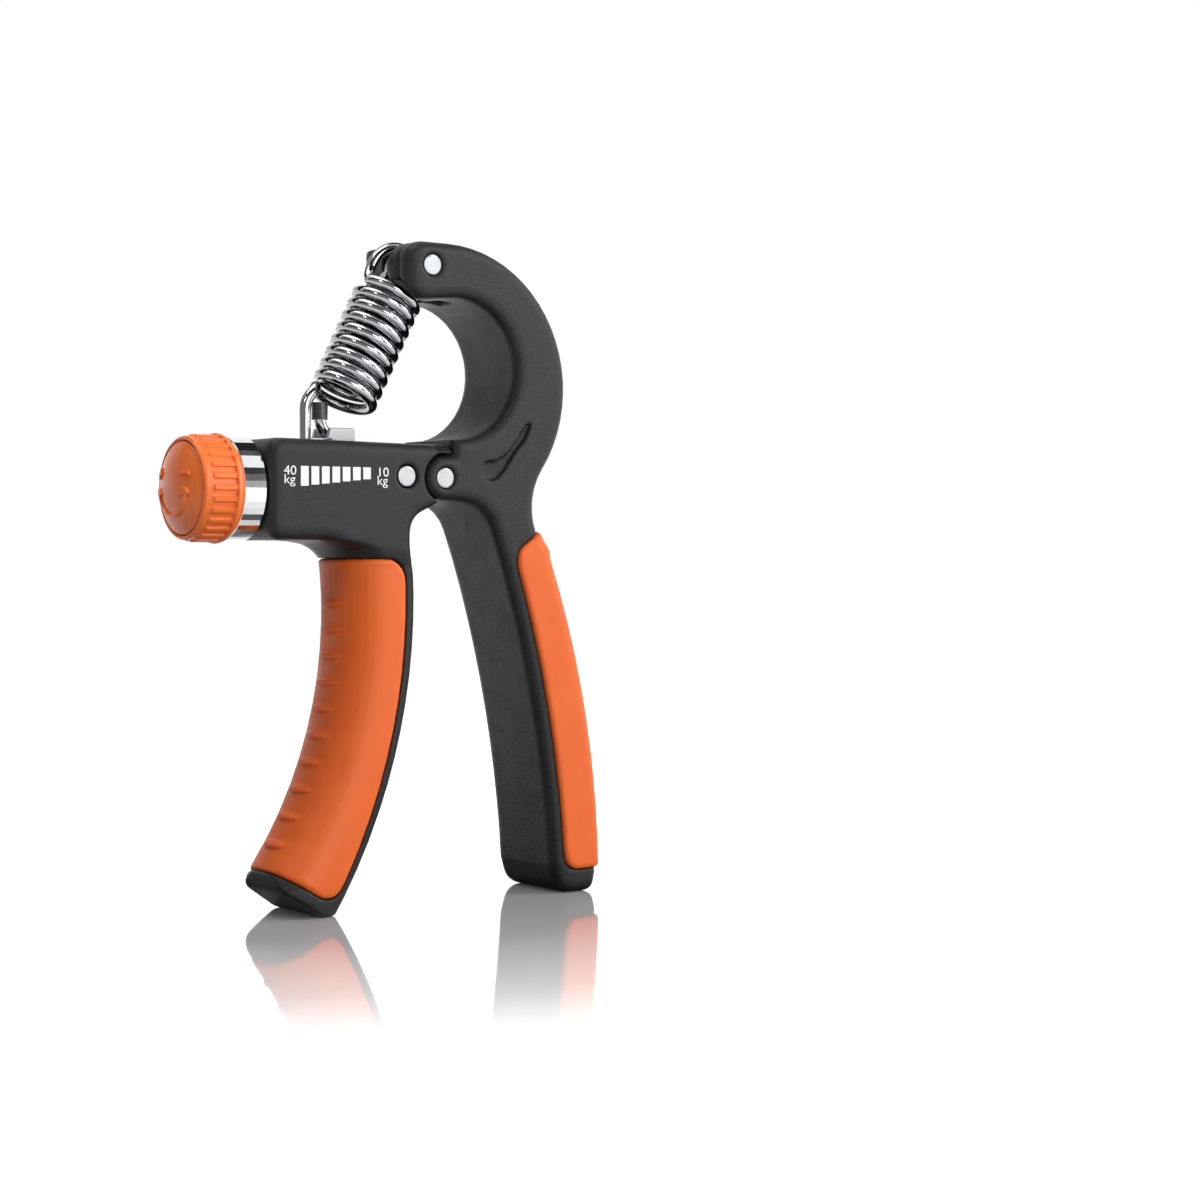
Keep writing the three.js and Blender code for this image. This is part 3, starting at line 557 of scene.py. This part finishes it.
WIRE = 2.4
WIRE_SIDES = 20
CAD_WIRE = 2.2
PIN_RADIUS = 2.1
HOOK_PIN = (-23.4, 5.8)
LEAN = math.radians(27.11)
COIL_RADIUS = 6.15
PITCH = 2.78
TURNS = 9
COIL_START = 11
COIL_END = COIL_START + TURNS * PITCH
CURL_STEPS = 48
EYE = 3.4  # radius of the lower hook
CHORD_LIFT = 2.5  # the upper hook's chord above the last curl
CHORD_GAP = 0.96
SPAN = COIL_END + CHORD_LIFT + CAD_WIRE / 2 + CHORD_GAP + PIN_RADIUS  # from pin to pin


def on_spring(aside, along, y=0.0):
    """A point along the spring's axis from the slider's pin, aside of it, and across."""
    axis = (math.sin(LEAN), math.cos(LEAN))
    side = (-axis[1], axis[0])
    return Vector((HOOK_PIN[0] + axis[0] * along + side[0] * aside, y,
                   HOOK_PIN[1] + axis[1] * along + side[1] * aside))


def arc(centre_x, centre_z, radius, start, end, steps, place=lambda a, b: Vector((a, 0, b))):
    angles = [start + (end - start) * i / steps for i in range(steps + 1)]
    return [place(centre_x + radius * math.cos(a), centre_z + radius * math.sin(a)) for a in angles]


def spring_path():
    """Centre line of the wire, from its end in the sleeve to its end at the upper hook."""
    tip, rise, seat, upper_bend = 14.4, 2.1, 0.3, 2
    x, z = HOOK_PIN
    bend = z + EYE * math.sqrt(3)
    third = math.pi / 3
    path = [Vector((x, 0, tip)), Vector((x, 0, 13.0))]
    path += arc(x + EYE, bend, EYE, math.pi, math.pi + third, 8)
    path += arc(x, z, EYE, third, -math.pi, 32)[1:]
    shank = x - EYE
    start = on_spring(COIL_RADIUS + 0.2, COIL_START - 0.9)
    path += [Vector((shank, 0, z + step * rise)) for step in range(1, 5)]
    path += [Vector((shank + 0.6, 0, start.z - 1.8)), start]
    for i in range(1, TURNS * CURL_STEPS):
        angle = 2 * math.pi * i / CURL_STEPS
        path.append(on_spring(COIL_RADIUS * math.cos(angle), COIL_START + PITCH * i / CURL_STEPS,
                              COIL_RADIUS * math.sin(angle)))
    centre = SPAN + PIN_RADIUS + seat + CAD_WIRE / 2 - COIL_RADIUS
    chord = COIL_END + CHORD_LIFT
    corner = chord + upper_bend
    path.append(on_spring(COIL_RADIUS, (COIL_END + centre) / 2 + 0.4))
    path += arc(0, centre, COIL_RADIUS, 0, math.pi, 24, on_spring)
    path.append(on_spring(-COIL_RADIUS, corner))
    path += arc(upper_bend - COIL_RADIUS, corner, upper_bend,
                math.pi, 1.5 * math.pi, 8, on_spring)[1:]
    path.append(on_spring(COIL_RADIUS - 3.1, chord))
    return path


def evened(path, step, passes):
    """The path at even steps, with its corners eased."""
    lengths = [0.0]
    for a, b in zip(path, path[1:]):
        lengths.append(lengths[-1] + (b - a).length)
    count = int(lengths[-1] / step)
    where = np.linspace(0, lengths[-1], count + 1)
    points = np.array([np.interp(where, lengths, [p[k] for p in path]) for k in range(3)]).T
    for _ in range(passes):
        points[1:-1] = points[1:-1] * 0.5 + (points[:-2] + points[2:]) * 0.25
    return [Vector(point) for point in points]


def wire_piece(name, path, ends=()):
    points, faces = sweep(path, WIRE / 2, WIRE_SIDES)
    piece = link(name, mesh_of(name, points, capped(points, faces, WIRE_SIDES, ends)))
    smooth_shade(piece.data, 50)
    return piece


def make_spring():
    """The wire in four pieces: two hooks, each on a body, and curls and shank baked in place on no
    body.
    """
    path = evened(spring_path(), 0.4, 8)
    foot = on_spring(0, 0)
    axis = on_spring(0, 1) - foot
    along = [(point - foot).dot(axis) for point in path]
    eye_end = next(i for i, p in enumerate(path)
                   if p.x < HOOK_PIN[0] - EYE + 0.05 and p.z > HOOK_PIN[1] + 0.6)
    coil_start = next(i for i, a in enumerate(along) if i > eye_end and a > COIL_START)
    coil_end = next(i for i, a in enumerate(along) if a > COIL_END)
    top = wire_piece("spring_upper_hook", path[coil_end:], ("end",))
    finish_piece(top, "spring_top_set", SHADED_SPRING_CHROME, "chrome_metal", "spring")
    eye = wire_piece("spring_lower_hook", path[:eye_end + 1], ("start",))
    finish_piece(eye, "spring_foot_set", SHADED_SPRING_CHROME, "chrome_metal")
    curls = wire_piece("spring_curls", path[coil_start:coil_end + 1])
    curls.data.materials.append(SHADED_SPRING_CHROME)
    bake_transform(curls)
    shank = wire_piece("spring_shank", path[eye_end:coil_start + 1])
    shank.data.materials.append(SHADED_SPRING_CHROME)
    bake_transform(shank)


make_spring()


# ---- Knob: shell, dome and its raised symbols ----

SCREW_Z = -2.6
DOME_EDGE = 9.15
DOME_TIP = -56.9
DOME_RISE = 2.7
DOME_SPHERE = (DOME_EDGE ** 2 + DOME_RISE ** 2) / (2 * DOME_RISE)
STROKE_WIDTH = 0.78
STROKE_HEIGHT = 0.48
STROKE_SECTION = ((-0.5, -0.3), (-0.5, 0.5), (-0.36, 0.92), (0, 1.06), (0.36, 0.92), (0.5, 0.5),
                  (0.5, -0.3))


def dome_at(y, z):
    """X of the dome at a place measured from its own axis."""
    return DOME_TIP + DOME_SPHERE - math.sqrt(DOME_SPHERE ** 2 - y * y - z * z)


def dome_stroke(name, places):
    """A raised line on the dome, through (y, z) places measured from its axis."""
    points = []
    count = len(places)
    for i in range(count):
        ahead = Vector(places[min(i + 1, count - 1)]) - Vector(places[max(i - 1, 0)])
        across = Vector((-ahead.y, ahead.x)).normalized()
        here = Vector(places[i])
        for offset, rise in STROKE_SECTION:
            y, z = here + across * (offset * STROKE_WIDTH)
            points.append((dome_at(y, z) - rise * STROKE_HEIGHT, y, z + SCREW_Z))
    sides = len(STROKE_SECTION)
    faces = capped(points, skin(count, sides), sides, ("start", "end"))
    piece = link(name, mesh_of(name, points, faces))
    smooth_shade(piece.data, 40)
    finish_piece(piece, "knob", ORANGE, "orange_plastic")


def straight(start, end):
    """Five even places from start to end."""
    steps = 4
    return [(start[0] + (end[0] - start[0]) * i / steps,
             start[1] + (end[1] - start[1]) * i / steps) for i in range(steps + 1)]


def make_symbols():
    level = 2.8
    dome_stroke("dome_minus", straight((-4.05, level), (-6.2, level)))
    dome_stroke("dome_plus_across", straight((3.9, level), (6.1, level)))
    dome_stroke("dome_plus_upright", straight((5.0, level - 1.1), (5.0, level + 1.1)))
    reach = 5.55
    angles = [math.radians(degrees) for degrees in range(6, 176, 5)]
    turn = [(-reach * math.cos(a), -reach * math.sin(a)) for a in angles]
    dome_stroke("dome_arrow_line", turn)
    for side in (-1, 1):
        tip = (side * 5.35, -0.25)
        for k, foot in enumerate(((side * 4.2, -1.45), (side * 6.25, -1.35))):
            dome_stroke(f"dome_arrow_{'left' if side > 0 else 'right'}_{k}", straight(tip, foot))


def make_knob():
    """The ribbed shell, and the dome with its rounded rim."""
    shell = moulded("knob_body", "knob_shell", 0.14, 1)
    finish_piece(shell, "knob", ORANGE, "orange_plastic", "knob_shell")
    profile = [(-54.0, DOME_EDGE - 0.9)]
    rim, rim_face, rings = 0.35, -54.3, 16
    reach = DOME_EDGE - rim
    for angle in range(0, 91, 30):
        a = math.radians(angle)
        profile.append((rim_face + rim - rim * math.sin(a), reach + rim * math.cos(a)))
    for i in range(1, rings + 1):
        radius = reach * (1 - i / rings)
        profile.append((dome_at(0, radius), max(radius, 0.01)))
    dome = turned("knob_dome", profile, (0, 0, SCREW_Z), "X", 96)
    smooth_shade(dome.data, 50)
    finish_piece(dome, "knob", ORANGE, "orange_plastic", "knob_cap")


make_knob()
make_symbols()


# ---- Pins, collar and printed scale ----

def pin_piece(name, body, x, z):
    """A pin through both faces, a little below them, with rounded ends."""
    half, radius, edge = HALF_DEPTH - 0.35, PIN_RADIUS, 0.3
    profile = [(-half, radius - edge), (-half + edge * 0.3, radius - edge * 0.3),
               (-half + edge, radius), (half - edge, radius),
               (half - edge * 0.3, radius - edge * 0.3), (half, radius - edge)]
    pin = turned(name, profile, (x, 0, z))
    smooth_shade(pin.data, 18)
    finish_piece(pin, body, STEEL, "steel", name.replace("_piece", ""))


pin_piece("arc_pin_piece", "rear", *ARM_PIN)
pin_piece("pivot_pin_piece", "rear", 0, 0)
pin_piece("block_rivet_piece", "front", *RIVET)


def printed(name, outline):
    """Flat white print on the front face."""
    lift = 0.015
    points = [(x, -HALF_DEPTH - lift, z) for x, z in outline]
    piece = link(name, mesh_of(name, points, [tuple(range(len(points)))]))
    finish_piece(piece, "front", PRINT, "black_plastic")


def printed_text(name, text, x, z):
    size, stretch = 2.6, 1.1
    data = bpy.data.curves.new(name, "FONT")
    data.body = text
    data.size = size * MM
    data.extrude = 0.00001
    letters = link(name, data)
    upright = Matrix.Rotation(math.pi / 2, 4, "X") @ Matrix.Scale(stretch, 4, (1, 0, 0))
    letters.matrix_world = Matrix.Translation(at(x, -HALF_DEPTH - 0.01, z)) @ upright
    data.materials.append(PRINT)
    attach(letters, "front")


def make_scale():
    """Seven bars that get shorter, between the two numbers."""
    first, step, width, top = -33.9, 2.36, 1.75, 1.8
    for k in range(7):
        left = first + step * k
        low = -2.1 + 0.25 * k
        right = left + width
        printed(f"scale_bar_{k}", [(left, low), (right, low + 0.05), (right, top), (left, top)])
    for name, number, x in (("scale_high", "40", -37.7), ("scale_low", "10", -16.6)):
        printed_text(name, number, x, 0.05)
        printed_text(f"{name}_unit", "kg", x, -1.65)


make_scale()


# ---- Floor, world and lamps ----

WORLD_LIGHT = 0.12
WORLD_FRONT = (-0.59, -0.81, 0)
# Brightness that metal sees in the world, by the angle over the object from front to back
WORLD_BANDS = [(0, 0.42), (40, 0.42), (46, 0.04), (66, 0.04), (72, 1.0), (98, 1.0),
               (104, 0.02), (130, 0.02), (136, 1.0), (164, 1.0), (170, 2.0), (180, 2.0)]
# By distance from the object's middle in metres: how white the floor shines by itself, and the
# rings that metal sees in it
FLOOR_GLOW = [(0, 0.02), (0.05, 0.02), (0.1, 0.25), (0.17, 1.0), (1, 1.0)]
FLOOR_RINGS = [(0, 0.9), (0.022, 0.9), (0.028, 0.03), (0.054, 0.03), (0.062, 0.55), (0.12, 0.55),
               (0.14, 0.06), (0.2, 0.06), (0.24, 0.8), (1, 0.8)]
FLOOR_BOUNCE = 0.3
LAMP_AIM = (0, 0, 70 + FLOOR)


def make_floor():
    """White floor that mirrors the object near it and is plain white further away."""
    mesh = bpy.data.meshes.new("floor")
    reach = 6
    corners = [(-reach, -reach, 0), (reach, -reach, 0), (reach, reach, 0), (-reach, reach, 0)]
    mesh.from_pydata(corners, [], [(0, 1, 2, 3)])
    floor = link("floor", mesh)
    s = Shader("floor_white")
    s.set(Roughness=0.04, IOR=1.6)
    path = s.node("ShaderNodeLightPath").outputs
    seen = s.math("MAXIMUM", path["Is Camera Ray"], path["Is Glossy Ray"])
    away = s.vector("LENGTH", s.place)
    glow = s.math("MULTIPLY", seen, s.ramp(away, *greys(FLOOR_GLOW)))
    s.set(Specular_IOR_Level=s.span(away, 0.06, 0.18, 0.5, 0.0))
    s.set(Emission_Color=(1, 1, 1, 1), Emission_Strength=glow)
    facing = s.node("ShaderNodeLayerWeight", Blend=0.5).outputs["Facing"]
    tone = s.mix(path["Is Glossy Ray"], s.span(facing, 0.6, 0.85, 0.95, 0.5),
                 s.ramp(away, *greys(FLOOR_RINGS)))
    bounce = (FLOOR_BOUNCE, FLOOR_BOUNCE, FLOOR_BOUNCE, 1)
    s.set(Base_Color=s.mix(path["Is Diffuse Ray"], tone, bounce))
    mesh.materials.append(s.material)


def make_world():
    """White to the camera, bands to metal, and a dim even light to all else."""
    world = bpy.data.worlds.new("studio")
    bpy.context.scene.world = world
    world.use_nodes = True
    w = Nodes(world.node_tree)
    path = w.node("ShaderNodeLightPath").outputs
    direction = w.node("ShaderNodeTexCoord").outputs["Generated"]
    up = w.node("ShaderNodeSeparateXYZ", Vector=direction).outputs["Z"]
    over = w.math("ARCTAN2", up, w.vector("DOT_PRODUCT", direction, WORLD_FRONT))
    bands = w.ramp(w.math("DIVIDE", over, math.pi),
                   *greys([(angle / 180, level) for angle, level in WORLD_BANDS]))
    glossy = w.mix(path["Is Glossy Ray"], (WORLD_LIGHT, WORLD_LIGHT, WORLD_LIGHT, 1), bands)
    camera = w.mix(path["Is Camera Ray"], glossy, (1, 1, 1, 1))
    w.feed(world.node_tree.nodes["Background"], "Color", camera)


def lamp(name, place, power, size):
    data = bpy.data.lights.new(name, "AREA")
    data.energy = power
    data.shape = "RECTANGLE"
    data.size, data.size_y = size
    light = link(name, data)
    light.location = at(*place)
    light.rotation_euler = (at(*LAMP_AIM) - light.location).to_track_quat("-Z", "Y").to_euler()


make_floor()
make_world()
lamp("key", (620, -440, 330), 4.5, (0.4, 0.6))
lamp("top", (-160, 60, 800), 3.6, (0.6, 0.6))
lamp("front", (60, -820, 230), 3.9, (0.5, 0.4))
lamp("left", (-700, -350, 560), 1.1, (0.15, 0.25))

bpy.context.scene.view_settings.view_transform = "Standard"
